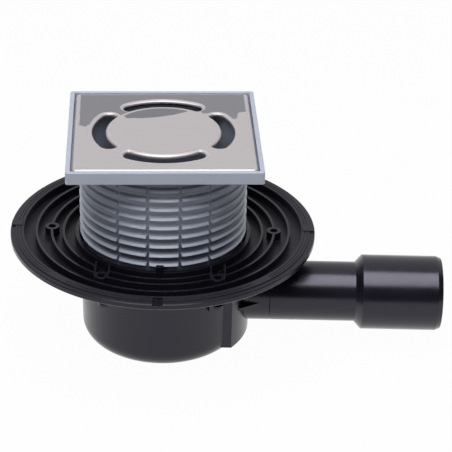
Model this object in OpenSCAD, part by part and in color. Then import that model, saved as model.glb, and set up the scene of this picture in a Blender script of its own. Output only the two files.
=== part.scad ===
// Floor drain with a horizontal outlet: a moulded trap body with a sealing collar,
// a ribbed raising piece with a square frame, a pressed steel grate and a
// lift-out water trap. The origin is the centre of the pot's base, +Z is up and
// the outlet leaves along +X.

/* [Trap body] */
// Outside diameter of the pot, measured under the collar
pot_d = 108.6; // [104:0.2:116]
// Wall and floor of the pot
pot_wall = 2.6; // [2:0.1:3.4]
// Draft of the pot's wall, in degrees
pot_draft = 0.5; // [0:0.1:1]
// Radius of the edge round the pot's base
base_fillet = 11.4; // [6:0.2:14]
// Height of the collar's rim above the base
body_h = 78.4; // [76:0.2:90]
// Number of lifting lugs on each side of the pot
lug_count = 2; // [1:1:2]
// Diameter of a lifting lug
lug_d = 8.8; // [5:0.2:10]
// How far a lug stands out of the pot
lug_out = 2.8; // [1.5:0.1:4]
// Height of the lugs above the base
lug_z = 41; // [36:0.5:46]
// Thickness of a lug
lug_t = 2; // [1.5:0.1:3]
// Thickness of the gusset beside a lug
gusset_t = 1.2; // [0.8:0.1:2]
// How far that gusset stands out of the pot
gusset_out = 2; // [1:0.1:2.6]

/* [Outlet] */
// Height of the outlet's axis above the base
outlet_z = 31.4; // [29:0.2:36]
// Outside diameter of the outlet's first stretch
outlet_small_d = 40; // [32:0.5:42]
// Outside diameter of the outlet's last stretch
outlet_large_d = 50; // [46:0.5:56]
// Distance from the pot's axis to the outlet's mouth
outlet_reach = 186.5; // [170:0.5:230]
// Length of the last stretch
outlet_large_len = 53; // [40:0.5:65]
// Length of the cone between the two diameters
outlet_cone_len = 4.6; // [3:0.2:12]
// Wall of the first stretch
outlet_small_wall = 2.2; // [1.8:0.1:3]
// Wall of the last stretch
outlet_large_wall = 3; // [2:0.1:4]
// Chamfer on the outlet's mouth
outlet_chamfer = 3.2; // [0.5:0.1:4]
// Distance from the pot's axis to the parting line round the outlet
parting_x = 71.8; // [66:0.2:90]
// Width of the outlet chamber on the pot's side
chamber_w = 68.6; // [56:0.2:76]
// How far the chamber stands out of the pot
chamber_out = 3.6; // [2:0.1:4]
// Height of the chamber's underside above the base
chamber_z = 6; // [4:0.5:9]
// Length of the webs beside the outlet, along it
web_len = 10.5; // [5:0.5:16]
// Thickness of the webs beside the outlet
web_t = 2.2; // [1.5:0.1:3]

/* [Sealing collar] */
// Outside diameter of the collar
collar_d = 200.8; // [190:0.2:220]
// Width of the rim round the collar
rim_w = 8.9; // [7:0.1:9.4]
// Thickness of the rim
rim_t = 4.7; // [3:0.1:5.2]
// Width of the lower step on the rim's outside
rim_step_w = 3.4; // [1.5:0.1:3.8]
// Drop of that step under the rim's top
rim_step_h = 0.7; // [0.4:0.1:1.8]
// Depth of the dish under the rim, at the rim
dish_depth = 5.9; // [5:0.1:6.5]
// Thickness of the dish's floor
dish_t = 2.5; // [2:0.1:3]
// Slope of the dish towards the throat, in degrees
dish_slope = 3.8; // [0:0.1:4]
// Radius of the outer rib
outer_rib_r = 83.2; // [80:0.1:85]
// Radius of the rib that carries the screw bosses
boss_r = 73.3; // [72:0.1:75]
// Radius of the inner rib
inner_rib_r = 65.6; // [64:0.1:67]
// Thickness of a rib
rib_t = 1.6; // [1.2:0.1:2]
// How far the ribs' tops lie under the rim's top, at the rim
rib_drop = 0.5; // [0:0.1:1.5]
// Number of screw bosses
boss_count = 6; // [3:1:8]
// Outside diameter of a screw boss
boss_d = 9.4; // [8:0.1:10]
// Diameter of the hole in a screw boss
boss_hole_d = 5; // [3:0.1:6]
// Depth of that hole
boss_hole_depth = 8; // [5:0.5:9]
// Width of the notches in the rim
notch_w = 6.4; // [4:0.2:10]
// Depth of the notches under the rim's top
notch_depth = 1.9; // [1.5:0.1:2.5]
// Width of the pocket behind a slanting boss
pocket_w = 7.4; // [5:0.2:8]
// Wall beside the pocket
pocket_wall = 1.2; // [0.8:0.1:2]
// Depth of the fine grooves in the rim
groove_depth = 0.4; // [0.2:0.1:0.6]
// Width of the fine grooves in the rim
groove_w = 0.5; // [0.3:0.1:0.8]

/* [Throat] */
// Running gap between the fins and the throat
throat_gap = 0.5; // [0.35:0.05:1]
// Wall of the throat
throat_wall = 2.6; // [2:0.1:3]
// How far the throat's top lies under the rim's top
throat_drop = 2.7; // [1.5:0.1:4]
// Depth of the socket for the raising piece
socket_depth = 17.7; // [14:0.1:20]
// Width of the index tab beside the raising piece
tab_w = 4.8; // [3:0.1:8]
// Height of the index tab above the throat
tab_h = 4.2; // [2:0.1:5]

/* [Raising piece] */
// Height of the frame's top above the collar's rim
raise = 70; // [40:0.5:90]
// Outside width of the square frame
frame_w = 123; // [121:0.5:150]
// Height of the frame's edge
frame_h = 8.2; // [7:0.1:12]
// Thickness of the frame's upstand round the grate
frame_rim = 3; // [2:0.1:3.4]
// Thickness of the frame's floor
frame_floor = 3.2; // [2:0.1:3.5]
// Radius of the frame's upright corners
frame_corner = 1.6; // [0.5:0.1:3]
// Turn of the frame against the outlet, in degrees
frame_turn = 3; // [-45:0.5:45]
// Turn of the guide lines on the tube against the outlet, in degrees
guide_turn = 2.5; // [-10:0.1:10]
// Diameter over the fins
tube_d = 109.6; // [106:0.1:112]
// How far a fin stands out of the tube
fin_depth = 2.8; // [1.5:0.1:3.2]
// Distance from fin to fin
fin_pitch = 6.55; // [5:0.05:9]
// Height of the lowest fin's edge above the throat
fin_start = 2.7; // [1.5:0.1:4]
// Height of a fin's upright lip
fin_lip = 0.9; // [0.4:0.1:1.5]
// Height of the fillet from the lip up to the tube
fin_fillet = 1.5; // [1:0.1:3.5]
// Wall of the tube between the fins
tube_wall = 2.6; // [2:0.1:3]
// Width of the guide notches in the fins
guide_w = 2.6; // [1:0.1:3]
// Thickness of the webs between the fins
guide_web_t = 1.1; // [0.6:0.1:1.6]

/* [Seal of the raising piece] */
// Height of the seal ring
seal_h = 4; // [3:0.1:6]
// Running clearance of the seal on both sides
seal_fit = 0.06; // [0.02:0.01:0.1]
// Thickness of the foot flange under the seal
foot_t = 1.2; // [0.8:0.1:2]
// How far the foot flange stands out of the tube
foot_out = 1.9; // [1:0.1:2.4]

/* [Grate] */
// Gap between the square grate and the frame's upstand
grate_gap = 1; // [0.3:0.1:2]
// Thickness of the grate's sheet
sheet_t = 1.5; // [1:0.1:2]
// Radius of the grate's pressed edge
grate_edge = 2; // [1:0.1:2.4]
// Outer radius of the slots
slot_outer_r = 46; // [42:0.2:47.5]
// Inner radius of the slots
slot_inner_r = 37; // [32:0.2:39]
// Half the length of a slot
slot_half = 25.2; // [15:0.2:26]
// Radius of a slot's outer corners
slot_round = 9; // [3:0.5:10]
// Radius of a slot's inner corners
slot_corner = 0.8; // [0.5:0.1:4]
// Width of the rolled lip round a slot
lip_w = 3.4; // [1:0.1:4]
// Depth of that lip under the grate's top
lip_h = 2.2; // [2:0.1:4]

/* [Water trap] */
// Depth of the water seal
water_seal = 50; // [30:1:51]
// Outside diameter of the dip tube
dip_d = 44; // [36:0.5:48]
// Clearance between the dip tube and the cup's floor
dip_clear = 5.8; // [4:0.1:8]
// Outside diameter of the cup
cup_d = 66; // [58:0.5:74]
// Wall of the dip tube, the cup and the flange
trap_wall = 1.6; // [1.2:0.1:2]
// Diameter of the flange that closes the trap
flange_d = 93.6; // [88:0.2:94.4]
// Clearance round the flange
flange_gap = 0.25; // [0.15:0.05:0.4]
// Width of the shelf under the flange
shelf_w = 2.4; // [1.5:0.1:3]
// Thickness of that shelf
shelf_t = 2.2; // [1.5:0.1:3]
// Height of the passage over the cup's edge, under the shelf
overflow_h = 3; // [2:0.1:5]
// Height of the grip above the flange
grip_h = 16; // [10:0.5:24]
// Width of the grip
grip_w = 64; // [58:0.5:76]
// Thickness of the grip's bar
grip_t = 4; // [3:0.1:6]

/* [Hidden] */

$fn = 96;
black = "#1d1d20";
grey = "#8f96a8";
steel = "#c9c3c0";
rubber = "#121212";
trap_grey = "#7c8290";

// heights
throat_top = body_h - throat_drop;
seat_z = throat_top - socket_depth;
frame_top = body_h + raise;
frame_bottom = frame_top - frame_h;
frame_floor_top = frame_bottom + frame_floor;
rim_under = body_h - rim_t;
first_fin = throat_top + fin_start;
seal_bottom = seat_z + foot_t;
fin_count = floor((frame_bottom - first_fin) / fin_pitch) + 1;
grate_h = frame_top - frame_floor_top;
grate_w = frame_w - 2 * (frame_rim + grate_gap);

// radii
pot_r = pot_d / 2;
collar_r = collar_d / 2;
rim_in = collar_r - rim_w;
throat_r = tube_d / 2 + throat_gap;
throat_out = throat_r + throat_wall;
chamber_r = pot_r + chamber_out;
tube_core = tube_d / 2 - fin_depth;
tube_bore = tube_core - tube_wall;
small_r = outlet_small_d / 2;
large_r = outlet_large_d / 2;
pot_base_r = pot_r - seat_z * tan(pot_draft);

// the upstand inside the raising piece's foot, which holds the trap's flange
upstand_gap = 0.3;
upstand_out = tube_bore - upstand_gap;
pocket_r = flange_d / 2 + flange_gap;
shelf_r = pocket_r - shelf_w;
cup_top = pot_wall + trap_wall + dip_clear + water_seal;
shelf_top = cup_top + overflow_h + shelf_t;
flange_t = 2.4;
flange_top = shelf_top + flange_t;
upstand_top = flange_top + 0.6;

// the trap seal's groove: its depth into the flange and its distance from both faces
seal_seat = 1.8;
seal_low = 0.6;

// length of the pocket between a slanting boss and the throat
boss_wall = boss_hole_d / 2 + pocket_wall;
pocket_end = sqrt(pow(throat_out, 2) - pow(boss_r * cos(60), 2));
pocket_len = boss_r * sin(60) - boss_wall - pocket_end;

// the outlet's stations along X
large_x = outlet_reach - outlet_large_len;
cone_x = large_x - outlet_cone_len;

// heights of the sloping dish, its underside and the ribs' tops, by radius
function dish_z(r) = body_h - dish_depth - (rim_in - r) * tan(dish_slope);
function rib_z(r) = body_h - rib_drop - (rim_in - r) * tan(dish_slope);

// points along an arc
function arc(x, y, r, from, to, steps) =
    [for (i = [0:steps]) let (a = from + (to - from) * i / steps) [x + r * cos(a), y + r * sin(a)]];

module at_outlet(x = 0) {
    translate([x, 0, outlet_z])
        rotate([0, 90, 0]) children();
}

// ---- trap body ----

module ring(outer, inner, bottom, height) {
    translate([0, 0, bottom])
        difference() {
            cylinder(r = outer, h = height);
            translate([0, 0, -1]) cylinder(r = inner, h = height + 2);
        }
}

module sector(from, to, r) {
    middle = (from + to) / 2;
    polygon([[0, 0], [r * cos(from), r * sin(from)], [r * 1.4 * cos(middle), r * 1.4 * sin(middle)],
             [r * cos(to), r * sin(to)]]);
}

// outside of pot, throat, dish and rim, turned round the axis
module shell_outside() {
    wall_out = rim_in + rib_t;
    flare_z = seat_z - pot_wall - (throat_out - pot_r);
    edge = 0.6;
    rotate_extrude()
        polygon(concat(
            [[0, 0]],
            arc(pot_base_r - base_fillet, base_fillet, base_fillet, -90, 0, 8),
            [[pot_r, flare_z], [throat_out, seat_z - pot_wall],
             [throat_out, dish_z(throat_out) - dish_t],
             [wall_out, dish_z(rim_in) - dish_t], [wall_out, rim_under],
             [collar_r - edge, rim_under], [collar_r, rim_under + edge],
             [collar_r, body_h - rim_step_h - edge], [collar_r - edge, body_h - rim_step_h],
             [collar_r - rim_step_w, body_h - rim_step_h], [collar_r - rim_step_w, body_h],
             [rim_in, body_h], [rim_in, dish_z(rim_in)], [throat_out, dish_z(throat_out)],
             [throat_out, throat_top], [0, throat_top]]));
}

// inside of pot and throat, with the upstand for the trap
module shell_inside() {
    inner_r = pot_r - pot_wall;
    inner_fillet = base_fillet - pot_wall;
    rotate_extrude()
        polygon(concat(
            [[0, pot_wall]],
            arc(pot_base_r - pot_wall - inner_fillet, base_fillet, inner_fillet, -90, 0, 6),
            [[inner_r, seat_z - pot_wall], [shelf_r, seat_z - pot_wall],
             [shelf_r, shelf_top], [pocket_r, shelf_top], [pocket_r, upstand_top],
             [upstand_out, upstand_top], [upstand_out, seat_z], [throat_r, seat_z],
             [throat_r, body_h + 1], [0, body_h + 1]]));
}

module rib(r) {
    rotate_extrude()
        polygon([[r - rib_t / 2, dish_z(r) - 1], [r + rib_t / 2, dish_z(r) - 1],
                 [r + rib_t / 2, rib_z(r + rib_t / 2)], [r - rib_t / 2, rib_z(r - rib_t / 2)]]);
}

module boss_places() {
    for (i = [0:boss_count - 1])
        rotate(i * 360 / boss_count) translate([boss_r, 0, 0]) children();
}

// the four bosses beside the X axis have a pocket between themselves and the throat
module pocket_places() {
    for (sx = [-1, 1])
        for (sy = [-1, 1])
            translate([sx * boss_r * cos(60), sy * boss_r * sin(60), 0])
                mirror([0, sy > 0 ? 0 : 1, 0]) children();
}

module pocket_walls() {
    top = rib_z(inner_rib_r);
    bottom = dish_z(throat_out) - dish_t;
    wide = pocket_w + 2 * pocket_wall;
    difference() {
        pocket_places()
            translate([-wide / 2, -boss_wall - pocket_len, bottom])
                cube([wide, pocket_len + pocket_wall, top - bottom]);
        translate([0, 0, bottom - 1]) cylinder(r = throat_out - 1, h = body_h);
    }
}

module pocket_holes() {
    floor_t = 1.2;
    difference() {
        pocket_places()
            translate([-pocket_w / 2, -boss_wall - pocket_len, dish_z(throat_out) - dish_t + floor_t])
                cube([pocket_w, pocket_len, body_h]);
        translate([0, 0, seat_z]) cylinder(r = throat_out, h = body_h);
    }
}

module bosses() {
    boss_h = boss_hole_depth + rib_t;
    boss_places()
        translate([0, 0, rib_z(boss_r) - boss_h])
            cylinder(d = boss_d, h = boss_h, $fn = 48);
}

module boss_holes() {
    boss_places()
        translate([0, 0, rib_z(boss_r) - boss_hole_depth])
            cylinder(d = boss_hole_d, h = boss_hole_depth + 2, $fn = 48);
}

// four notches across the rim
module rim_notches() {
    notch_in = rim_in + 1;
    for (a = [0:90:270])
        rotate(a)
            translate([notch_in, -notch_w / 2, body_h - notch_depth])
                cube([rim_w, notch_w, notch_depth + 1]);
}

// fine grooves along the rim, in stretches
module rim_grooves() {
    for (spec = [[-43, 43, 1.9], [-43, 43, 3.8], [137, 223, 1.9], [137, 223, 3.8],
                 [232, 308, 2.9], [52, 128, 2.9]])
        intersection() {
            ring(rim_in + spec[2] + groove_w, rim_in + spec[2], body_h - groove_depth, 1);
            translate([0, 0, body_h - 2]) linear_extrude(4) sector(spec[0], spec[1], collar_r);
        }
}

module index_tab() {
    intersection() {
        ring(throat_out, throat_r, throat_top - 4, 4 + tab_h);
        translate([-tab_w / 2, -throat_out - 1, 0]) cube([tab_w, throat_out, body_h + 10]);
    }
}

module chamber(r, half_w, bottom, top) {
    intersection() {
        translate([0, 0, bottom]) cylinder(r = r, h = top - bottom);
        translate([0, -half_w, bottom - 1]) cube([r + 1, 2 * half_w, top - bottom + 2]);
    }
}

module outlet_outside() {
    root = chamber_r - 6;
    seam = 0.4;
    at_outlet()
        rotate_extrude()
            polygon([[0, root], [small_r, root], [small_r, parting_x - seam],
                     [small_r - seam, parting_x], [small_r, parting_x + seam],
                     [small_r, cone_x], [large_r, large_x],
                     [large_r, outlet_reach - outlet_chamfer],
                     [large_r - outlet_chamfer * 0.4, outlet_reach], [0, outlet_reach]]);
}

module outlet_bore() {
    inner_small = small_r - outlet_small_wall;
    inner_large = large_r - outlet_large_wall;
    root = chamber_r - 8;
    at_outlet()
        rotate_extrude()
            polygon([[0, root], [inner_small, root], [inner_small, cone_x],
                     [inner_large, large_x], [inner_large, outlet_reach + 1], [0, outlet_reach + 1]]);
}

// flat webs between chamber and outlet, one on each side
module outlet_webs() {
    wall_x = sqrt(pow(chamber_r, 2) - pow(small_r, 2));
    web_reach = 7;
    for (side = [-1, 1])
        mirror([0, side > 0 ? 1 : 0, 0])
            translate([0, 0, outlet_z - web_t / 2])
                linear_extrude(web_t)
                    polygon([[wall_x - 4, -small_r + 4], [wall_x + web_len, -small_r + 4],
                             [wall_x + web_len, -small_r], [wall_x - 1.5, -small_r - web_reach],
                             [wall_x - 5, -small_r - web_reach]]);
}

module lug_places() {
    angles = lug_count == 2 ? [46, 134] : [134];
    for (a = angles)
        for (side = [-1, 1])
            rotate(side * a) children();
}

module lugs() {
    lug_places()
        translate([pot_r - lug_d / 2 + lug_out, 0, lug_z - lug_t / 2])
            cylinder(d = lug_d, h = lug_t, $fn = 48);
}

// one upright gusset beside each lug, up to the flare under the throat
module lug_gussets() {
    turn = 9;
    root = 1;
    lug_places()
        rotate(-turn)
            translate([pot_r - root, -gusset_t / 2, lug_z])
                cube([root + gusset_out, gusset_t, seat_z - pot_wall - lug_z]);
}

module body() {
    color(black)
        difference() {
            union() {
                difference() {
                    union() {
                        shell_outside();
                        chamber(chamber_r, chamber_w / 2, chamber_z, dish_z(throat_out) - dish_t / 2);
                        outlet_outside();
                        outlet_webs();
                        lugs();
                        lug_gussets();
                    }
                    shell_inside();
                    chamber(chamber_r - pot_wall, chamber_w / 2 - pot_wall, chamber_z + pot_wall,
                            seat_z - 2 * pot_wall);
                    outlet_bore();
                }
                for (r = [outer_rib_r, boss_r, inner_rib_r]) rib(r);
                pocket_walls();
                bosses();
                index_tab();
            }
            boss_holes();
            pocket_holes();
            rim_notches();
            rim_grooves();
        }
}

// ---- seal at the raising piece's foot ----

module riser_seal() {
    inner = tube_core + seal_fit;
    outer = throat_r - seal_fit;
    root = outer - 0.9;
    lip = seal_h / 4;
    color(rubber)
        rotate_extrude()
            polygon([[inner, seal_bottom], [root, seal_bottom], [outer, seal_bottom + lip],
                     [root, seal_bottom + 2 * lip], [outer, seal_bottom + 3 * lip],
                     [root, seal_bottom + seal_h], [inner, seal_bottom + seal_h]]);
}

// ---- raising piece: frame and ribbed tube in one moulding ----

// one fin: flat underneath, with a thin upright lip and a fillet from the lip up to the tube
function fin_points(edge) =
    concat([[tube_core, edge], [tube_core + fin_depth, edge]],
           [for (a = [0:30:90])
               [tube_core + fin_depth * (1 - sin(a)), edge + fin_lip + fin_fillet * (1 - cos(a))]]);

module tube_outside() {
    bead_z = seal_bottom + seal_h + 0.05;
    rotate_extrude()
        polygon(concat(
            [[0, seat_z], [tube_core + foot_out, seat_z], [tube_core + foot_out, seal_bottom],
             [tube_core, seal_bottom], [tube_core, bead_z], [tube_core + 1, bead_z],
             [tube_core + 1, bead_z + 1], [tube_core, bead_z + 2]],
            [for (i = [0:fin_count - 1]) each fin_points(first_fin + i * fin_pitch)],
            [[tube_core, frame_top], [0, frame_top]]));
}

module rounded_square(w, r) {
    offset(r) square(w - 2 * r, center = true);
}

module frame_block() {
    soft = 0.5;
    rotate(frame_turn)
        hull() {
            translate([0, 0, frame_bottom + soft])
                linear_extrude(frame_h - 2 * soft) rounded_square(frame_w, frame_corner, $fn = 32);
            translate([0, 0, frame_bottom])
                linear_extrude(frame_h) rounded_square(frame_w - 2 * soft, frame_corner, $fn = 32);
        }
}

module guide_places() {
    for (half = [0, 180])
        for (a = [-33, -11, 11, 33])
            rotate(guide_turn + half + a - 90) children();
}

module raising_piece() {
    guide_web_out = fin_depth * 0.25;
    notch_in = fin_depth * 0.7;
    notch_root = guide_w * 0.17;
    past = 0.4;
    notch_half = notch_root + (guide_w / 2 - notch_root) * (notch_in + past) / notch_in;
    color(grey)
        difference() {
            union() {
                intersection() {
                    tube_outside();
                    translate([0, 0, seat_z]) cylinder(r = frame_w / 2, h = frame_floor_top - seat_z - 1);
                }
                frame_block();
                guide_places()
                    translate([tube_core - 1, -guide_web_t / 2, first_fin + fin_lip / 2])
                        cube([1 + guide_web_out, guide_web_t, frame_bottom - first_fin]);
            }
            guide_places()
                translate([tube_d / 2, 0, first_fin - 1])
                    linear_extrude(frame_bottom - first_fin + 1)
                        polygon([[-notch_in, notch_root], [-notch_in, -notch_root],
                                 [past, -notch_half], [past, notch_half]]);
            translate([0, 0, seat_z - 1]) cylinder(r = tube_bore, h = frame_top);
            rotate(frame_turn)
                translate([0, 0, frame_floor_top])
                    linear_extrude(frame_h) rounded_square(frame_w - 2 * frame_rim, frame_corner / 2, $fn = 32);
        }
}

// ---- grate ----

// plan of the slot at the front: part of a ring, with rounded ends
module slot_plan(grow = 0) {
    inner_half = slot_half - slot_corner;
    outer_half = slot_half - slot_round;
    offset(delta = grow)
        intersection() {
            offset(slot_corner)
                difference() {
                    translate([-inner_half, -slot_outer_r]) square([2 * inner_half, slot_outer_r]);
                    circle(r = slot_inner_r + slot_corner, $fn = 72);
                }
            offset(slot_round)
                intersection() {
                    circle(r = slot_outer_r - slot_round, $fn = 72);
                    translate([-outer_half, -slot_outer_r]) square([2 * outer_half, slot_outer_r]);
                }
        }
}

module slots() {
    for (a = [0:90:270]) rotate(a) children();
}

module pan(w, h) {
    hull() {
        for (step = [0:4])
            let (a = step * 22.5)
                linear_extrude(h - grate_edge * (1 - sin(a)))
                    rounded_square(w - 2 * grate_edge * (1 - cos(a)), 3, $fn = 32);
    }
}

module grate() {
    lip_steps = 3;
    color(steel)
        translate([0, 0, frame_floor_top])
            rotate(frame_turn)
                difference() {
                    union() {
                        difference() {
                            pan(grate_w, grate_h);
                            translate([0, 0, -1]) linear_extrude(grate_h - sheet_t + 1)
                                rounded_square(grate_w - 2 * sheet_t, 2, $fn = 32);
                        }
                        translate([0, 0, grate_h - lip_h]) linear_extrude(lip_h - 0.3)
                            slots() slot_plan(sheet_t, $fn = 16);
                    }
                    translate([0, 0, -1]) linear_extrude(grate_h + 2) slots() slot_plan(0, $fn = 16);
                    for (i = [0:lip_steps - 1])
                        let (a = 90 * (i + 0.5) / lip_steps)
                            translate([0, 0, grate_h - lip_w * (1 - sin(a)) * 0.6])
                                linear_extrude(lip_w)
                                    slots() slot_plan(lip_w * (1 - cos(a)) * 0.6, $fn = 16);
                }
}

// ---- water trap ----

module trap_funnel() {
    dip_r = dip_d / 2;
    dip_bore = dip_r - trap_wall;
    dip_bottom = cup_top - water_seal;
    groove_in = flange_d / 2 - seal_seat;
    dish_in = 0.4;
    dish_out = flange_d / 2 - 4;
    color(trap_grey) {
        difference() {
            rotate_extrude()
                polygon([[0, dip_bottom], [dip_r, dip_bottom], [dip_r, shelf_top],
                         [flange_d / 2, shelf_top],
                         [flange_d / 2, shelf_top + seal_low], [groove_in, shelf_top + seal_low],
                         [groove_in, flange_top - seal_low], [flange_d / 2, flange_top - seal_low],
                         [flange_d / 2, flange_top], [0, flange_top]]);
            rotate_extrude()
                polygon([[0, dip_bottom - 1], [dip_bore, dip_bottom - 1],
                         [dip_bore, shelf_top - 1], [dip_bore + 3, flange_top - 2 * dish_in],
                         [dish_out, flange_top - dish_in], [dish_out, flange_top + 1],
                         [0, flange_top + 1]]);
        }
        grip();
    }
}

// a flat arch that a finger goes under
module grip() {
    below = 10;
    sunk = 1.8;
    translate([0, grip_t / 2, flange_top - sunk])
        rotate([90, 0, 0])
            linear_extrude(grip_t)
                difference() {
                    offset(3, $fn = 32) offset(-3)
                        translate([-grip_w / 2, -below]) square([grip_w, grip_h + below]);
                    offset(2, $fn = 32) offset(-2)
                        translate([-grip_w / 2 + grip_t, -below])
                            square([grip_w - 2 * grip_t, grip_h + below - grip_t]);
                    translate([-grip_w, -below]) square([2 * grip_w, below]);
                }
}

module trap_seal() {
    fit = 0.02;
    inner = flange_d / 2 - seal_seat + fit;
    outer = pocket_r - 2 * fit;
    bottom = shelf_top + seal_low;
    top = flange_top - seal_low;
    color(rubber)
        rotate_extrude()
            polygon([[inner, bottom], [outer - 0.35, bottom], [outer, (bottom + top) / 2],
                     [outer - 0.35, top], [inner, top]]);
}

module trap_cup() {
    cup_r = cup_d / 2;
    foot_r = cup_r - 2;
    bore_r = cup_r - trap_wall;
    soft = 3;
    arm_t = 2.4;
    arm_low = cup_top - 12;
    color(trap_grey)
        difference() {
            union() {
                rotate_extrude()
                    polygon([[0, pot_wall], [foot_r - soft, pot_wall], [foot_r, pot_wall + soft],
                             [cup_r, cup_top], [0, cup_top]]);
                for (i = [0:2])
                    rotate(30 + i * 120)
                        translate([bore_r, -arm_t / 2, arm_low])
                            cube([shelf_r - 1.5 - bore_r, arm_t, shelf_top - arm_low]);
            }
            rotate_extrude()
                polygon([[0, pot_wall + trap_wall], [foot_r - trap_wall - soft, pot_wall + trap_wall],
                         [foot_r - trap_wall, pot_wall + trap_wall + soft],
                         [bore_r, cup_top], [bore_r, body_h], [0, body_h]]);
        }
}

body();
riser_seal();
raising_piece();
grate();
trap_funnel();
trap_cup();
trap_seal();
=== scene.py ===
import math

import bmesh
import bpy
from mathutils import Matrix, Vector


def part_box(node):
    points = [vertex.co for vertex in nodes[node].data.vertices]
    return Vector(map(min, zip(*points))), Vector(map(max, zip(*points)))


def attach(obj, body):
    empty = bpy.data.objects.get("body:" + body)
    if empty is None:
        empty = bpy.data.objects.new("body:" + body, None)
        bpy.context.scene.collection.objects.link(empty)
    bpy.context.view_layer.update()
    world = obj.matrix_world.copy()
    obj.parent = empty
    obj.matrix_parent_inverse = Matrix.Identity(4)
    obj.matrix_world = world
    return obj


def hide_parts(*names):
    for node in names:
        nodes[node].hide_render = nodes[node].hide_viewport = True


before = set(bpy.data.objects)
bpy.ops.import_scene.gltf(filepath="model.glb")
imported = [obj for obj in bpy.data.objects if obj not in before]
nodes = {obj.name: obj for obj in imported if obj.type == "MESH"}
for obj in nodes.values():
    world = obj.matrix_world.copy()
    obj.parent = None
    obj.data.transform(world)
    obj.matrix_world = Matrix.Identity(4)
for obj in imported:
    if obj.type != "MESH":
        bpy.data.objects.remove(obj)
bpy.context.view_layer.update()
mm = 0.001
print("frame loaded:", len(nodes), "nodes")


class Wire:
    # one shader socket that can stand in plain arithmetic
    def __init__(self, tree, socket):
        self.tree = tree
        self.socket = socket

    def calc(self, operation, first, second):
        made = self.tree.nodes.new("ShaderNodeMath")
        made.operation = operation
        plug(self.tree, made.inputs[0], first)
        plug(self.tree, made.inputs[1], second)
        return Wire(self.tree, made.outputs[0])

    def __add__(self, other):
        return self.calc("ADD", self, other)

    def __radd__(self, other):
        return self.calc("ADD", other, self)

    def __sub__(self, other):
        return self.calc("SUBTRACT", self, other)

    def __rsub__(self, other):
        return self.calc("SUBTRACT", other, self)

    def __mul__(self, other):
        return self.calc("MULTIPLY", self, other)

    def __rmul__(self, other):
        return self.calc("MULTIPLY", other, self)

    def __truediv__(self, other):
        return self.calc("DIVIDE", self, other)

    def __rtruediv__(self, other):
        return self.calc("DIVIDE", other, self)


def plug(tree, socket, value):
    if isinstance(value, Wire):
        tree.links.new(value.socket, socket)
    else:
        socket.default_value = value


def setStops(ramp, stops):
    while len(ramp.elements) < len(stops):
        ramp.elements.new(0.5)
    for element, (place, level) in zip(ramp.elements, stops):
        element.position = place
        element.color = (level, level, level, 1)


class Finish:
    # the node tree of a material or the world, with one way to add any node
    def __init__(self, owner):
        owner.use_nodes = True
        self.tree = owner.node_tree

    def node(self, kind, settings=None, out=0, **sockets):
        made = self.tree.nodes.new("ShaderNode" + kind)
        for name, value in (settings or {}).items():
            if name == "stops":
                setStops(made.color_ramp, value)
            else:
                setattr(made, name, value)
        for name, value in sockets.items():
            key = int(name[1:]) if name[0] == "n" and name[1:].isdigit() else name.replace("_", " ")
            plug(self.tree, made.inputs[key], value)
        return Wire(self.tree, made.outputs[out])

    def split(self, vector):
        parts = self.node("SeparateXYZ", n0=vector).socket.node
        return [Wire(self.tree, part) for part in parts.outputs]

    def reach(self, place):
        # distance from the upright axis
        flat = self.node("VectorMath", {"operation": "MULTIPLY"}, n0=place, n1=(1, 1, 0))
        return self.node("VectorMath", {"operation": "LENGTH"}, out=1, n0=flat)

    def ramp(self, value, start, end, low=0, high=1, shape="LINEAR"):
        return self.node("MapRange", {"interpolation_type": shape}, Value=value, From_Min=start, From_Max=end,
                         To_Min=low, To_Max=high)

    def blend(self, share, first, second, way="MIX"):
        return self.node("Mix", {"data_type": "RGBA", "blend_type": way}, out=2,
                         n0=share, n6=first, n7=second)

    def surface(self, **sockets):
        shader = self.tree.nodes["Principled BSDF"]
        for name, value in sockets.items():
            plug(self.tree, shader.inputs[name.replace("_", " ")], value)
        return Wire(self.tree, shader.outputs[0])

    def show(self, shader):
        output = [n for n in self.tree.nodes if n.type.startswith("OUTPUT")][0]
        self.tree.links.new(shader.socket, output.inputs["Surface"])


def newMaterial(name):
    made = bpy.data.materials.new(name)
    return made, Finish(made)


def tone(colour, factor):
    return tuple(min(1, part * factor) for part in colour) + (1,)


collarTop = 78.4 * mm  # the body's box reaches higher, to the top of the tab beside the raising piece
blackLook = {
    "colour": (0.0062, 0.0062, 0.0098), "colourSpread": (0.8, 1.25), "sheenTint": (0.93, 0.9, 1.06, 1),
    "ior": 1.46, "rough": 0.25, "cloudRough": 0.16, "scuffRough": 0.1, "softEdge": 0.35 * mm,
    "cloudScale": 38, "grainScale": 1500, "scuffScale": 160, "scuffHeight": 0.6,
    "grainDepth": 0.05 * mm, "grainStrength": 0.12,
    # the collar: matt dish with glossier rib tops, and a rim that is dull on top and coloured lighter there,
    # a painted sheen
    "dishLow": collarTop - 9.4 * mm, "dishOut": 91.5 * mm, "dishSlope": 3.8, "dishIor": 1.25,
    "mattRough": 0.1, "ribTop": collarTop - 0.5 * mm, "dishShare": 1, "ribShare": 0.5, "sideGloss": 0.65,
    "rimLow": collarTop - 1.2 * mm, "rimSheenColour": (0.0185, 0.018, 0.0235), "rimSpread": (0.85, 1.15),
    "rimIor": 1.15, "rimShare": 0.8, "fade": 0.5 * mm, "thinFade": 0.3 * mm,
}


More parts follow.
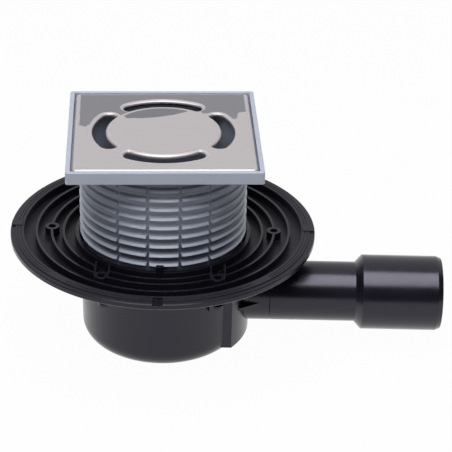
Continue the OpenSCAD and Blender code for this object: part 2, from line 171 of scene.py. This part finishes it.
def blackMoulding():
    look = blackLook
    made, s = newMaterial("blackMoulding")
    place = s.node("TexCoord", out=3)
    height = s.split(place)[2]
    reach = s.reach(place)
    cloud = s.node("TexNoise", Vector=place, Scale=look["cloudScale"], Detail=3)
    grain = s.node("TexNoise", Vector=place, Scale=look["grainScale"], Detail=2)
    scuff = s.node("TexNoise", Vector=place, Scale=look["scuffScale"], Detail=4, Roughness=0.65)
    shade = s.blend(cloud, *[tone(look["colour"], factor) for factor in look["colourSpread"]])
    edges = s.node("Bevel", {"samples": 6}, Radius=look["softEdge"])
    skin = s.node("Bump", Strength=look["grainStrength"], Distance=look["grainDepth"],
                  Height=grain + scuff * look["scuffHeight"], Normal=edges)
    rough = look["rough"] + (cloud - 0.5) * look["cloudRough"] + (scuff - 0.5) * look["scuffRough"]
    glossy = s.surface(Base_Color=shade, Roughness=rough, Normal=skin, IOR=look["ior"],
                       Specular_Tint=look["sheenTint"])
    matt = s.node("BsdfPrincipled", Base_Color=shade, Roughness=rough + look["mattRough"], Normal=skin,
                  IOR=look["dishIor"], Specular_Tint=look["sheenTint"])
    onCollar = s.ramp(height, look["dishLow"], look["dishLow"] + look["fade"])
    outside = s.ramp(reach, look["dishOut"] - look["fade"], look["dishOut"])
    # the ribs' tops fall towards the middle as the dish does
    level = height + (look["dishOut"] - reach) * math.tan(math.radians(look["dishSlope"]))
    mattShare = s.ramp(level, look["ribTop"] - 2 * look["thinFade"], look["ribTop"] - look["thinFade"],
                       look["dishShare"], look["ribShare"])
    mattShare = onCollar * mattShare * (1 - outside * look["sideGloss"])
    collar = s.node("MixShader", n0=mattShare, n1=glossy, n2=matt)
    # painted sheen: the rim's top gets a lighter colour than the black, standing in for the light it catches
    rimSheenShade = s.blend(cloud, *[tone(look["rimSheenColour"], factor) for factor in look["rimSpread"]])
    dull = s.node("BsdfPrincipled", Base_Color=rimSheenShade, Roughness=rough + look["mattRough"], Normal=skin,
                  IOR=look["rimIor"])
    upper = s.ramp(height, look["rimLow"], look["rimLow"] + look["thinFade"])
    s.show(s.node("MixShader", n0=upper * outside * look["rimShare"], n1=collar, n2=dull))
    return made


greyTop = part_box("raising_piece")[1].z
greyLook = {
    "colour": (0.335, 0.365, 0.445), "colourSpread": (0.95, 1.05), "ior": 1.5, "rough": 0.34,
    "cloudScale": 24, "grainScale": 1900, "flowScale": 210,
    "flowRough": 0.12, "grainDepth": 0.04 * mm, "grainStrength": 0.1,
    # painted shade in the grooves between the fins: dark at the root, darkest at the tube's two ends, under
    # the frame and near the collar
    "grooveFrom": 52.2 * mm, "grooveTo": 54 * mm, "paintedGrooveShade": (0.3, 0.3, 0.33, 1),
    "tubeLow": 78 * mm, "tubeHigh": 142 * mm,
    "shadeAlongTube": [(0, 1), (0.16, 1), (0.45, 0.5), (0.74, 0.6), (0.8, 1)],
    # the painted shade is weaker inside the bore
    "boreFrom": 49.8 * mm, "boreTo": 51 * mm, "boreShare": 0.35,
    # painted shade: the frame's top faces are coloured darker than the rest of the frame
    "topFrom": greyTop - 0.6 * mm, "topTo": greyTop - 0.2 * mm, "paintedTopShade": (0.84, 0.84, 0.83, 1),
}


def greyMoulding():
    look = greyLook
    made, s = newMaterial("greyMoulding")
    place = s.node("TexCoord", out=3)
    height = s.split(place)[2]
    reach = s.reach(place)
    cloud = s.node("TexNoise", Vector=place, Scale=look["cloudScale"], Detail=2)
    grain = s.node("TexNoise", Vector=place, Scale=look["grainScale"], Detail=2)
    flow = s.node("TexNoise", Vector=place, Scale=look["flowScale"], Detail=3)
    shade = s.blend(cloud, *[tone(look["colour"], factor) for factor in look["colourSpread"]])
    groove = s.ramp(reach, look["grooveFrom"], look["grooveTo"], 1, 0, "SMOOTHSTEP")
    wall = s.ramp(reach, look["boreFrom"], look["boreTo"], look["boreShare"], 1)
    share = s.ramp(height, look["tubeLow"], look["tubeHigh"])
    along = s.node("ValToRGB", {"stops": look["shadeAlongTube"]}, Fac=share)
    # painted shade multiplied into the grooves between the fins
    shade = s.blend(groove * wall * along, shade, look["paintedGrooveShade"], "MULTIPLY")
    # painted shade on the frame's top faces
    shade = s.blend(s.ramp(height, look["topFrom"], look["topTo"]), shade, look["paintedTopShade"], "MULTIPLY")
    skin = s.node("Bump", Strength=look["grainStrength"], Distance=look["grainDepth"], Height=grain)
    s.surface(Base_Color=shade, Roughness=look["rough"] + (flow - 0.5) * look["flowRough"], Normal=skin,
              IOR=look["ior"])
    return made


steelLook = {
    "colour": (0.456, 0.427, 0.438), "colourSpread": (0.93, 1.06), "metal": 0.7, "turn": 3,
    "rough": 0.18, "lipRough": 0.34, "brushRough": 0.06, "cloudRough": 0.03, "flatNormal": (0.985, 0.9995),
    "brushScale": (28, 2400, 400), "cloudScale": 30, "waveScale": 11,
    "waveDepth": 0.4 * mm, "waveStrength": 0.6, "brushDepth": 0.05 * mm, "brushStrength": 0.08,
}
# painted reflection: a grey patch on the plate's flat top, in the plate's own millimetres; lower holds its
# lower border as (x, y)
paintedReflectionSizes = {
    "tint": (0.335, 0.36, 0.4, 1), "plateHalf": 57.5, "span": 60, "left": -54.3, "right": 54.6,
    "back": 54.9, "backSlant": 0.008, "backShare": 0.65, "fade": 0.2, "lowerFade": 0.24,
    "discEdge": 33.4, "plateEdge": 35.4, "ringFade": 0.4, "plateShare": 0.875,
    "wanderScale": 160, "sideWander": 1.2, "backWander": 1,
    "lower": [(-57.5, 7), (-53.5, 7.5), (-51.8, 6.2), (-50.3, 5), (-49, 8), (-40, 9), (-37.5, 14), (-36, 22),
              (-29.5, 23.5), (-26.4, 23.2), (-23.7, 18.2), (-13, 18.2), (-2, 20.2), (7, 23.4), (15.5, 28),
              (17, 31), (24, 31), (26, 25.6), (30.5, 25.6), (36, 22), (45, 17), (46.8, 17.4), (48.2, 18.4),
              (48.9, 24.5), (49.8, 27), (54.4, 28.6), (57.5, 28)],
}


def paintedReflectionMask(s, place, turnBack):
    f = paintedReflectionSizes
    wander = s.node("TexNoise", Vector=place, Scale=f["wanderScale"], Detail=3) - 0.5
    own = s.split(s.node("Mapping", Vector=place, Rotation=turnBack))
    across, along = own[0] / mm, own[1] / mm
    half = f["plateHalf"]
    stops = [((x + half) / (2 * half), y / f["span"]) for x, y in f["lower"]]
    lower = s.node("ValToRGB", {"stops": stops}, Fac=s.ramp(across, -half, half)) * f["span"]
    mask = s.ramp(along - lower + wander * f["sideWander"], -f["lowerFade"], f["lowerFade"])
    for gap in (across - f["left"], f["right"] - across):
        mask = mask * s.ramp(gap + wander * f["sideWander"], -f["fade"], f["fade"])
    gap = f["back"] - along + across * f["backSlant"]
    mask = mask * s.ramp(gap + wander * f["backWander"], -f["fade"], f["fade"], f["backShare"], 1)
    # the painted reflection covers the round middle fully, a narrow ring round it is bare, the plate has a
    # little less
    reach = s.reach(place) / mm
    disc = s.ramp(reach, f["discEdge"], f["discEdge"] + f["ringFade"], 1, 0)
    plate = s.ramp(reach, f["plateEdge"], f["plateEdge"] + f["ringFade"], 0, f["plateShare"])
    return mask * (disc + plate)


def brushedSteel():
    look = steelLook
    made, s = newMaterial("brushedSteel")
    place = s.node("TexCoord", out=3)
    turnBack = (0, 0, math.radians(-look["turn"]))
    along = s.node("Mapping", Vector=place, Rotation=turnBack, Scale=look["brushScale"])
    brush = s.node("TexNoise", Vector=along, Scale=1, Detail=3, Roughness=0.6)
    cloud = s.node("TexNoise", Vector=place, Scale=look["cloudScale"], Detail=2)
    wave = s.node("TexNoise", Vector=place, Scale=look["waveScale"], Detail=0)
    flat = s.ramp(s.split(s.node("TexCoord", out=1))[2], *look["flatNormal"])
    shade = s.blend(brush, *[tone(look["colour"], factor) for factor in look["colourSpread"]])
    # painted reflection: the grey patch is multiplied into the colour of the flat top only
    shade = s.blend(paintedReflectionMask(s, place, turnBack) * flat, shade, paintedReflectionSizes["tint"], "MULTIPLY")
    sheet = s.node("Bump", Strength=look["waveStrength"], Distance=look["waveDepth"], Height=wave)
    skin = s.node("Bump", Strength=look["brushStrength"], Distance=look["brushDepth"], Height=brush,
                  Normal=sheet)
    rough = look["rough"] + (1 - flat) * look["lipRough"]
    rough = rough + (brush - 0.5) * look["brushRough"] + (cloud - 0.5) * look["cloudRough"]
    s.surface(Base_Color=shade, Metallic=look["metal"], Roughness=rough, Normal=skin)
    return made


sealLook = {
    "dark": (0.012, 0.012, 0.012, 1), "light": (0.022, 0.021, 0.021, 1), "rough": 0.62, "cloudRough": 0.15,
    "cloudScale": 60, "grainScale": 1200, "grainDepth": 0.05 * mm, "grainStrength": 0.3,
}


def sealRubber():
    look = sealLook
    made, s = newMaterial("sealRubber")
    place = s.node("TexCoord", out=3)
    cloud = s.node("TexNoise", Vector=place, Scale=look["cloudScale"], Detail=3)
    grain = s.node("TexNoise", Vector=place, Scale=look["grainScale"], Detail=3)
    skin = s.node("Bump", Strength=look["grainStrength"], Distance=look["grainDepth"], Height=grain)
    s.surface(Base_Color=s.blend(cloud, look["dark"], look["light"]), Normal=skin,
              Roughness=look["rough"] + cloud * look["cloudRough"])
    return made


black = blackMoulding()
grey = greyMoulding()
steel = brushedSteel()
rubber = sealRubber()
finishes = {"body": black, "riser_seal": rubber, "trap_seal": rubber, "raising_piece": grey,
            "grate": steel, "trap_funnel": grey, "trap_cup": grey}
for name, finish in finishes.items():
    nodes[name].data.materials.clear()
    nodes[name].data.materials.append(finish)
print("materials made:", len(bpy.data.materials))


meshWork = {"weld": 0.002 * mm, "sharp": 40, "flatWeight": 80}


def finishMesh(name, bm, material):
    bmesh.ops.remove_doubles(bm, verts=bm.verts, dist=meshWork["weld"])
    bmesh.ops.dissolve_degenerate(bm, edges=bm.edges, dist=meshWork["weld"])
    bmesh.ops.recalc_face_normals(bm, faces=bm.faces)
    mesh = bpy.data.meshes.new(name)
    bm.to_mesh(mesh)
    bm.free()
    for polygon in mesh.polygons:
        polygon.use_smooth = True
    mesh.set_sharp_from_angle(angle=math.radians(meshWork["sharp"]))
    mesh.materials.append(material)
    piece = bpy.data.objects.new(name, mesh)
    bpy.context.scene.collection.objects.link(piece)
    weighted = piece.modifiers.new("flatNormals", "WEIGHTED_NORMAL")
    weighted.keep_sharp = True
    weighted.weight = meshWork["flatWeight"]
    return piece


def addRing(bm, points):
    return [bm.verts.new(Vector(point) * mm) for point in points]


def bridge(bm, first, second):
    for i in range(len(first)):
        j = (i + 1) % len(first)
        bm.faces.new((first[i], first[j], second[j], second[i]))


def ringEdges(bm, ring):
    return [bm.edges.get((vert, ring[(i + 1) % len(ring)])) for i, vert in enumerate(ring)]


def turned(x, y, degrees):
    a = math.radians(degrees)
    return x * math.cos(a) - y * math.sin(a), x * math.sin(a) + y * math.cos(a)


def corner(middleR, middleZ, radius, start, end, steps):
    # rounded corner of a profile, as (r, z) points
    out = []
    for i in range(steps + 1):
        a = math.radians(start + (end - start) * i / steps)
        out.append((middleR + radius * math.cos(a), middleZ + radius * math.sin(a)))
    return out


def squarePoint(half, cornerRadius, degrees):
    # where a ray from the centre meets a rounded square
    angle = math.radians(degrees)
    quarter = math.floor(angle / (math.pi / 2) + 0.5)
    local = angle - quarter * math.pi / 2
    side = 1 if local >= 0 else -1
    t = abs(local)
    c = half - cornerRadius
    if t <= math.atan2(c, half):
        x, y = half, half * math.tan(t)
    else:
        along = c * (math.cos(t) + math.sin(t))
        reach = along + math.sqrt(max(0, along * along - 2 * c * c + cornerRadius * cornerRadius))
        x, y = reach * math.cos(t), reach * math.sin(t)
    return turned(x, side * y, quarter * 90)


def squareAngles(step, cornerSteps, cornerStep, turn=0):
    # even angles all round and finer ones at the square's corners, in degrees
    angles = {round(i * step, 3) for i in range(round(360 / step))}
    for quarter in range(4):
        for i in range(-cornerSteps, cornerSteps + 1):
            angles.add(round((quarter * 90 + 45 + i * cornerStep + turn) % 360, 3))
    return angles


# raising piece: finned tube and square frame
riserLow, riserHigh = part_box("raising_piece")
riserSizes = {
    "foot": riserLow.z / mm, "top": riserHigh.z / mm, "bore": 49.4, "core": 52.0,
    "fins": 54.8, "finCount": 10, "firstFin": 78.4, "pitch": 6.55, "finSoft": 0.22, "softSteps": 3,
    "band": 1.6, "bandIn": 1.1, "fillet": 1.5, "filletFrom": 10, "filletStep": 16, "finGap": 0.15,
    "frameWide": 123, "frameHigh": 8.2, "frameRim": 3, "frameFloor": 3.2, "frameCorner": 1.6, "frameTurn": 3,
    "floorRound": 0.4, "rimInRound": 0.5, "rimOutRound": 0.6, "underRound": 0.5, "rimSteps": 4,
    # guide lines: a web joins the fins and a notch is cut in each
    "guides": (-33, -11, 11, 33), "guideTurn": 2.5, "guideHalf": 1.3, "notchIn": 2.6, "notchRoot": 0.44,
    "webHalf": 0.35, "webFlare": 0.9, "webOut": 0.4, "webSoft": 0.35,
    "footOut": 53.9, "footHigh": 1.2, "sealHigh": 4.0, "sealPlay": 0.05, "land": 1,
    "angleStep": 1.5, "cornerSteps": 6, "cornerStep": 0.14,
    "guideSteps": (0, 0.2, 0.42, 0.46, 0.6, 0.8, 1.0, 1.2, 1.32, 1.45, 1.7),
}
guideLines = [half + guide + riserSizes["guideTurn"] - 90
              for half in (0, 180) for guide in riserSizes["guides"]]


def riserAngles():
    r = riserSizes
    angles = squareAngles(r["angleStep"], r["cornerSteps"], r["cornerStep"], r["frameTurn"])
    for line in guideLines:
        for step in r["guideSteps"]:
            angles.update({round((line - step) % 360, 3), round((line + step) % 360, 3)})
    return sorted(angles)


def fromGuide(angle):
    # distance from the nearest guide line along the fins' edge
    nearest = min(abs((angle - line + 180) % 360 - 180) for line in guideLines)
    return math.radians(nearest) * riserSizes["fins"]


def finProfile():
    # the fins from the lowest to the highest, as (r, z) points on their way up
    r = riserSizes
    soft = r["finSoft"]
    bandTop = r["fins"] - r["bandIn"]
    out = []
    for i in range(r["finCount"]):
        edge = r["firstFin"] + i * r["pitch"]
        upper = edge + r["band"]
        out.append((r["core"], edge))
        out += corner(r["fins"] - soft, edge + soft, soft, -90, 0, r["softSteps"])
        out.append((bandTop, upper))
        for degrees in range(r["filletFrom"], 91, r["filletStep"]):
            a = math.radians(degrees)
            out.append((bandTop - (bandTop - r["core"]) * math.sin(a),
                        upper + r["fillet"] * (1 - math.cos(a))))
    return [point for point in out if point[1] < r["top"] - r["frameHigh"] - r["finGap"]]


def riserSections():
    # closed profile up the bore, over the frame and down the fins, as (kind, reach, z)
    r = riserSizes
    half = r["frameWide"] / 2
    inner = half - r["frameRim"]
    under = r["top"] - r["frameHigh"]
    floorTop = under + r["frameFloor"]
    small, rimIn, rimOut, low = r["floorRound"], r["rimInRound"], r["rimOutRound"], r["underRound"]
    few, more = r["softSteps"], r["rimSteps"]
    sections = [("round", r["bore"], r["foot"])]
    for kind, curve in (("round", (r["bore"] + small, floorTop - small, small, 180, 90, few)),
                        ("inside", (inner - small, floorTop + small, small, -90, 0, few)),
                        ("inside", (inner + rimIn, r["top"] - rimIn, rimIn, 180, 90, more)),
                        ("outside", (half - rimOut, r["top"] - rimOut, rimOut, 90, 0, more)),
                        ("outside", (half - low, under + low, low, 0, -90, more))):
        sections += [(kind, reach, z) for reach, z in corner(*curve)]
    fins = finProfile()[::-1]
    sections.append(("fin", fins[0][0] - r["finGap"], under))
    sections += [("fin", reach, z) for reach, z in fins]
    footTop = r["foot"] + r["footHigh"]
    seat = footTop + r["sealHigh"] + r["sealPlay"]
    landOut = r["core"] + r["land"]
    sections += [("round", reach, z) for reach, z in
                 ((r["core"], seat + 2 * r["land"]), (landOut, seat + r["land"]), (landOut, seat),
                  (r["core"], seat), (r["core"], footTop),
                  (r["footOut"], footTop), (r["footOut"], r["foot"]))]
    return sections


def finReach(reach, z, angle):
    r = riserSizes
    t = fromGuide(angle)
    share = min(1, max(0, ((z - r["firstFin"]) / r["pitch"]) % 1))
    webHalf = r["webHalf"] + r["webFlare"] * (1 - share)
    web = min(1, max(0, (webHalf - t) / r["webSoft"] + 0.5))
    cut = min(1, (r["guideHalf"] - t) / (r["guideHalf"] - r["notchRoot"]))
    return min(max(reach, r["core"] + r["webOut"] * web), r["fins"] - r["notchIn"] * cut)


def riserPoint(kind, reach, z, angle):
    r = riserSizes
    if kind in ("inside", "outside"):
        cornerRadius = r["frameCorner"] / (2 if kind == "inside" else 1)
        x, y = turned(*squarePoint(reach, cornerRadius, angle - r["frameTurn"]), r["frameTurn"])
    else:
        if kind == "fin":
            reach = finReach(reach, z, angle)
        x, y = reach * math.cos(math.radians(angle)), reach * math.sin(math.radians(angle))
    return x, y, z


def raisingPiece():
    bm = bmesh.new()
    angles = riserAngles()
    rings = [addRing(bm, [riserPoint(kind, reach, z, angle) for angle in angles])
             for kind, reach, z in riserSections()]
    for i, ring in enumerate(rings):
        bridge(bm, ring, rings[(i + 1) % len(rings)])
    return finishMesh("raisingPiece", bm, grey)


riser = raisingPiece()
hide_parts("raising_piece")
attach(riser, "riser")
print("raising piece made:", len(riser.data.polygons), "faces")


# grate: pressed sheet with four slots
grateLow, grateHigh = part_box("grate")
grateSizes = {
    "bottom": grateLow.z / mm, "top": grateHigh.z / mm, "wide": 115, "turn": 3, "sheet": 1.5,
    "edge": 1.7, "edgeStep": 15, "corner": 3.0, "cornerLeast": 0.6, "foldSoft": 0.2, "foldIn": 0.6,
    "slotOuter": 46, "slotInner": 37.2, "slotHalf": 25.9, "slotCorner": 0.9, "slotRound": 5.5,
    "outerSteps": 40, "innerSteps": 20, "roundSteps": 24, "tipSteps": 8, "roundGap": 3, "innerGap": 1,
    # rolled lip round each slot
    "lipOuter": 3.4, "lipInner": 2.7, "lipTip": 2.2, "lipSteep": 0.34, "lipDive": 0.6, "lipEnd": 78,
    "lipSteps": 9, "lipCut": 1.1, "cutSoft": 0.15, "cutWide": 1.0, "cutBack": 0.2,
    "underShare": 0.6, "underOut": 0.4, "underDrop": 0.35, "sheetOut": 0.3,
    "angleStep": 3, "cornerSteps": 8, "cornerStep": 0.2,
}


def slotArc(middle, radius, start, end, steps, lipStart, lipEnd, sign=1):
    # part of a slot's outline as (x, y, outward x, outward y, lip width)
    out = []
    for i in range(steps):
        share = i / steps
        a = math.radians(start + (end - start) * share)
        out.append((middle[0] + radius * math.cos(a), middle[1] + radius * math.sin(a),
                    sign * math.cos(a), sign * math.sin(a), lipStart + (lipEnd - lipStart) * share))
    return out


def slotOutline():
    # plan of the front slot, counterclockwise
    g = grateSizes
    outer, inner, big, small = g["slotOuter"], g["slotInner"], g["slotRound"], g["slotCorner"]
    endX = g["slotHalf"] - big
    endY = -math.sqrt((outer - big) ** 2 - endX ** 2)
    outerA = math.degrees(math.atan2(endY, endX))
    # where the end's curve meets the inner curve
    away = math.hypot(endX, endY)
    along = (away ** 2 + inner ** 2 - big ** 2) / (2 * away)
    aside = math.sqrt(inner ** 2 - along ** 2)
    tipX = (endX * along - endY * aside) / away
    tipY = (endY * along + endX * aside) / away
    endA = math.degrees(math.atan2(tipY - endY, tipX - endX))
    innerA = math.degrees(math.atan2(tipY, tipX))
    mid = math.radians((endA + innerA + 180) / 2)
    back = small / math.cos(math.radians((innerA + 180 - endA) / 2))
    cornerX, cornerY = tipX - back * math.cos(mid), tipY - back * math.sin(mid)
    wide, thin, tip = g["lipOuter"], g["lipInner"], g["lipTip"]
    roundEnd, innerEnd = endA - g["roundGap"], innerA - g["innerGap"]
    return (slotArc((0, 0), outer, -180 - outerA, outerA, g["outerSteps"], wide, wide)
            + slotArc((endX, endY), big, outerA, roundEnd, g["roundSteps"], wide, tip)
            + slotArc((cornerX, cornerY), small, endA, innerA + 180, g["tipSteps"], tip, tip)
            + slotArc((0, 0), inner, innerEnd, -90, g["innerSteps"], tip, thin, -1)
            + slotArc((0, 0), inner, -90, -180 - innerEnd, g["innerSteps"], thin, tip, -1)
            + slotArc((-cornerX, cornerY), small, -innerA, 180 - endA, g["tipSteps"], tip, tip)
            + slotArc((-endX, endY), big, 180 - roundEnd, 180 - outerA, g["roundSteps"], tip, wide))


def lipLevels():
    # share of the lip's width, more outward, share of the lip's drop, further down
    g = grateSizes
    end, cut = math.radians(g["lipEnd"]), g["lipCut"]
    levels = []
    for i in range(g["lipSteps"] + 1):
        a = end * i / g["lipSteps"]
        levels.append((1 - math.sin(a) / math.sin(end), 0, (1 - math.cos(a)) / (1 - math.cos(end)), 0))
    return levels + [(0, 0, 1, cut - g["cutSoft"]), (0, g["cutSoft"], 1, cut), (0, g["cutWide"], 1, cut),
                     (0, g["cutWide"] + g["cutBack"], 1, cut - g["cutBack"]),
                     (g["underShare"], g["underOut"], 0, g["sheet"] + g["underDrop"]),
                     (1, g["sheetOut"], 0, g["sheet"])]


def lipRings(bm, outline, quarter):
    # rings from the flat top round the rolled lip to the flat underside
    g = grateSizes
    rings = []
    for share, more, dropShare, down in lipLevels():
        points = []
        for x, y, outX, outY, lip in outline:
            d = lip * share + more
            inward = (g["slotOuter"] - math.hypot(x, y)) / (g["slotOuter"] - g["slotInner"])
            steep = g["lipSteep"] + (g["lipDive"] - g["lipSteep"]) * inward
            points.append((*turned(x + outX * d, y + outY * d, quarter * 90 + g["turn"]),
                           g["top"] - down - lip * steep * dropShare))
        rings.append(addRing(bm, points))
    return rings


def foldProfile():
    # rounded edge of the plate and its turned-down flange, as (reach, z)
    g = grateSizes
    half, edge = g["wide"] / 2, g["edge"]
    inner, under = half - g["sheet"], g["top"] - g["sheet"]
    out = []
    for degrees in range(0, 91, g["edgeStep"]):
        a = math.radians(degrees)
        out.append((half - edge + edge * math.sin(a), g["top"] - edge * (1 - math.cos(a))))
    return out + [(half, g["bottom"] + g["foldSoft"]), (half - g["foldSoft"], g["bottom"]),
                  (inner + g["foldSoft"], g["bottom"]), (inner, g["bottom"] + g["foldSoft"]),
                  (inner, under - g["foldIn"]), (inner - g["foldIn"], under)]


def foldRings(bm):
    g = grateSizes
    angles = sorted(squareAngles(g["angleStep"], g["cornerSteps"], g["cornerStep"]))
    rings = []
    for reach, z in foldProfile():
        cornerRadius = max(g["cornerLeast"], g["corner"] - g["wide"] / 2 + reach)
        rings.append(addRing(bm, [(*turned(*squarePoint(reach, cornerRadius, angle), g["turn"]), z)
                                  for angle in angles]))
    return rings


def grate():
    bm = bmesh.new()
    outline = slotOutline()
    stacks = [lipRings(bm, outline, quarter) for quarter in range(4)] + [foldRings(bm)]
    topEdges, underEdges = [], []
    for rings in stacks:
        for first, second in zip(rings, rings[1:]):
            bridge(bm, first, second)
        topEdges += ringEdges(bm, rings[0])
        underEdges += ringEdges(bm, rings[-1])
    bmesh.ops.triangle_fill(bm, use_beauty=True, edges=topEdges, normal=(0, 0, 1))
    bmesh.ops.triangle_fill(bm, use_beauty=True, edges=underEdges, normal=(0, 0, -1))
    return finishMesh("grateSheet", bm, steel)


sheet = grate()
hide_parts("grate")
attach(sheet, "riser")
print("grate made:", len(sheet.data.polygons), "faces")


# slabs across the collar's two side notches, a little proud of the rim and hollow underneath
notchSizes = {"in": 92.3, "out": 99.9, "half": 3.22, "under": 0.6, "proud": 0.4}


def notchFloor(name, side):
    n = notchSizes
    top = collarTop / mm
    plan = ((n["in"], -n["half"]), (n["out"], -n["half"]), (n["out"], n["half"]), (n["in"], n["half"]))
    bm = bmesh.new()
    rings = [addRing(bm, [(side * x, y, z) for x, y in plan]) for z in (top - n["under"], top + n["proud"])]
    bridge(bm, *rings)
    for ring in rings:
        bm.faces.new(ring)
    floor = finishMesh(name, bm, black)
    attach(floor, "body")


for name, side in (("notchFloorLeft", -1), ("notchFloorRight", 1)):
    notchFloor(name, side)
print("notch floors made")


# studio: white paper, a dark room in front and two lamps
paperLook = {"half": 4, "low": -0.05 * mm, "colour": 0.4, "cameraShare": 0.975,
             "glossShare": 0.9, "glossLevel": 1.25}
roomLook = {"tilt": 6, "dark": 0.045, "light": 0.84, "darkTo": 0.52, "lightFrom": 0.6}
lamps = {
    "overhead": {"at": (-0.06, -0.44, 1.53), "size": (1.3, 1.27), "power": 36, "aim": (0.05, 0, 0.1),
                 "glossy": True},
    "fill": {"at": (-0.4, -1.5, 0.75), "size": (0.7, 0.5), "power": 2.5, "aim": (0.02, 0, 0.1),
             "glossy": False},
}
cameraPlace = {"at": (0.0345, -1.0412, 0.6423), "yaw": -0.39, "down": 28.40, "roll": 1.41,
               "lens": 142.5, "sensor": 36, "far": 50}


def makeFloor():
    p = paperLook
    bm = bmesh.new()
    plan = ((-1, -1), (1, -1), (1, 1), (-1, 1))
    bm.faces.new([bm.verts.new((x * p["half"], y * p["half"], p["low"])) for x, y in plan])
    mesh = bpy.data.meshes.new("floor")
    bm.to_mesh(mesh)
    bm.free()
    made, s = newMaterial("floorPaper")
    paper = s.node("BsdfDiffuse", Color=(p["colour"],) * 3 + (1,))
    white = s.node("Emission", Color=(1, 1, 1, 1), Strength=1)
    bright = s.node("Emission", Color=(1, 1, 1, 1), Strength=p["glossLevel"])
    seen = s.node("MixShader", n0=s.node("LightPath", out=0) * p["cameraShare"], n1=paper, n2=white)
    mirrored = s.node("MixShader", n0=s.node("LightPath", out=3) * p["glossShare"], n1=seen, n2=bright)
    # the paper is open from below
    s.show(s.node("MixShader", n0=s.node("NewGeometry", out=6), n1=mirrored, n2=s.node("BsdfTransparent")))
    mesh.materials.append(made)
    floor = bpy.data.objects.new("floor", mesh)
    bpy.context.scene.collection.objects.link(floor)


def makeWorld():
    r = roomLook
    world = bpy.data.worlds.new("studioWorld")
    bpy.context.scene.world = world
    s = Finish(world)
    toward = s.split(s.node("TexCoord", out=0))
    tilt = math.radians(r["tilt"])
    depth = toward[1] * math.cos(tilt) - toward[2] * math.sin(tilt)
    stops = [(0, r["dark"]), (r["darkTo"], r["dark"]), (r["lightFrom"], r["light"]), (1, r["light"])]
    level = s.node("ValToRGB", {"stops": stops}, Fac=depth * 0.5 + 0.5)
    room = s.node("Background", Color=level, Strength=1)
    white = s.node("Background", Color=(1, 1, 1, 1), Strength=1)
    s.show(s.node("MixShader", n0=s.node("LightPath", out=0), n1=room, n2=white))


def makeLamps():
    for name, plan in lamps.items():
        data = bpy.data.lights.new(name, "AREA")
        data.shape = "RECTANGLE"
        data.size, data.size_y = plan["size"]
        data.energy = plan["power"]
        lamp = bpy.data.objects.new(name, data)
        lamp.location = plan["at"]
        lamp.visible_glossy = plan["glossy"]
        lamp.rotation_euler = (Vector(plan["aim"]) - lamp.location).to_track_quat("-Z", "Y").to_euler()
        bpy.context.scene.collection.objects.link(lamp)


def makeCamera():
    data = bpy.data.cameras.new("camera")
    data.lens = cameraPlace["lens"]
    data.sensor_width = cameraPlace["sensor"]
    data.clip_end = cameraPlace["far"]
    camera = bpy.data.objects.new("camera", data)
    turn = (Matrix.Rotation(math.radians(cameraPlace["yaw"]), 4, "Z")
            @ Matrix.Rotation(math.radians(90 - cameraPlace["down"]), 4, "X")
            @ Matrix.Rotation(math.radians(cameraPlace["roll"]), 4, "Z"))
    camera.matrix_world = Matrix.Translation(cameraPlace["at"]) @ turn
    bpy.context.scene.collection.objects.link(camera)
    bpy.context.scene.camera = camera


makeFloor()
makeWorld()
makeLamps()
makeCamera()
bpy.context.scene.view_settings.view_transform = "Standard"
print("studio made")
